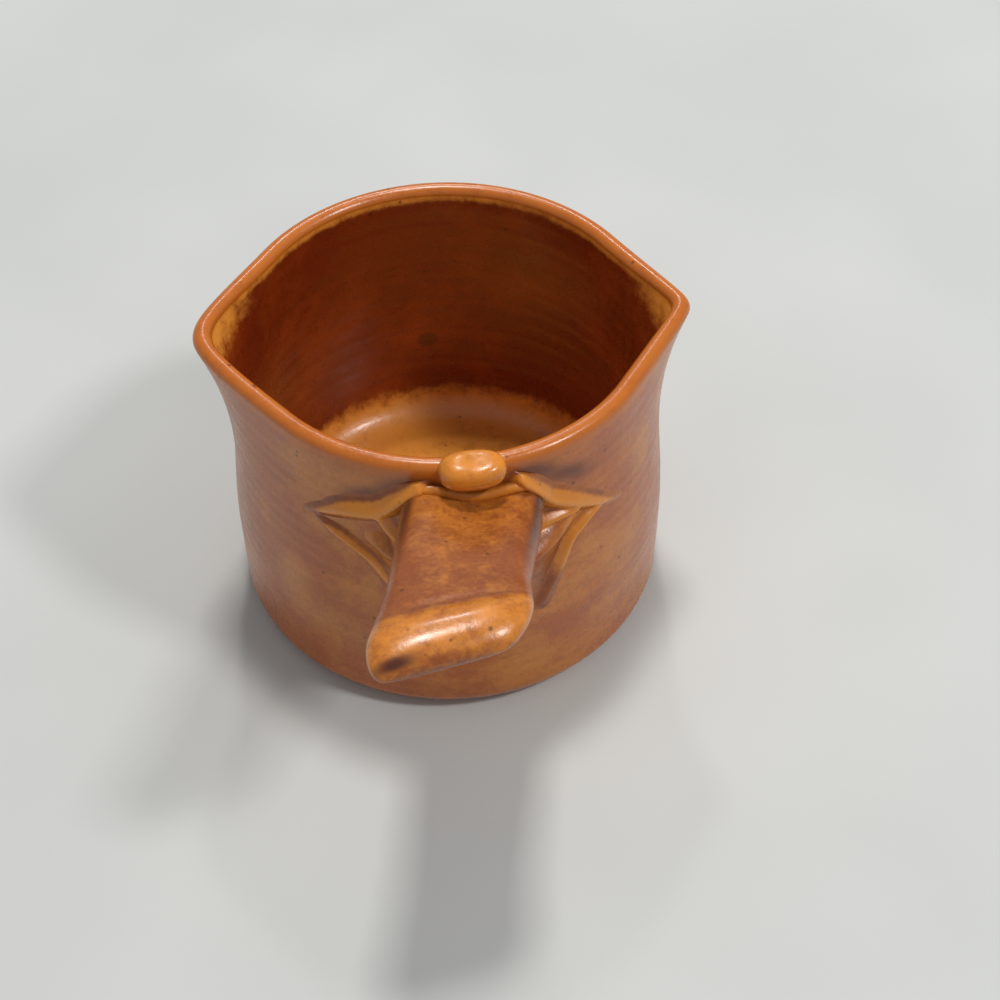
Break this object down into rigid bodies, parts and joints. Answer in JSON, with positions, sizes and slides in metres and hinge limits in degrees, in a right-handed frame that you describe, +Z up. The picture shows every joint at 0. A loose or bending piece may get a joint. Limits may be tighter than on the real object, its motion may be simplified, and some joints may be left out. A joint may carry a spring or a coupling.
{
  "type": "butter warmer",
  "caption": "Round glazed stoneware warming pan with pulled pouring lips, a strap handle luted on under the rim and a flattened clay ball over its joint.",
  "frame": {"origin": "centre of the flat foot, on the surface that the warmer stands on", "axes": "+Z up, the handle is rooted on the -Y side, the lips point near -X and +X"},
  "size_m": [0.1053, 0.145, 0.0813],
  "materials": {
    "bowl_glaze": "glossy",
    "handle_glaze": "glossy",
    "luting_glaze": "glossy"
  },
  "bodies": {
    "root": {"bowl": "bowl_glaze", "handle": "handle_glaze", "rim_ball": "luting_glaze", "joint_coil": "luting_glaze", "left_wad": "luting_glaze", "right_wad": "luting_glaze", "gusset": "luting_glaze"}
  },
  "joints": []
}
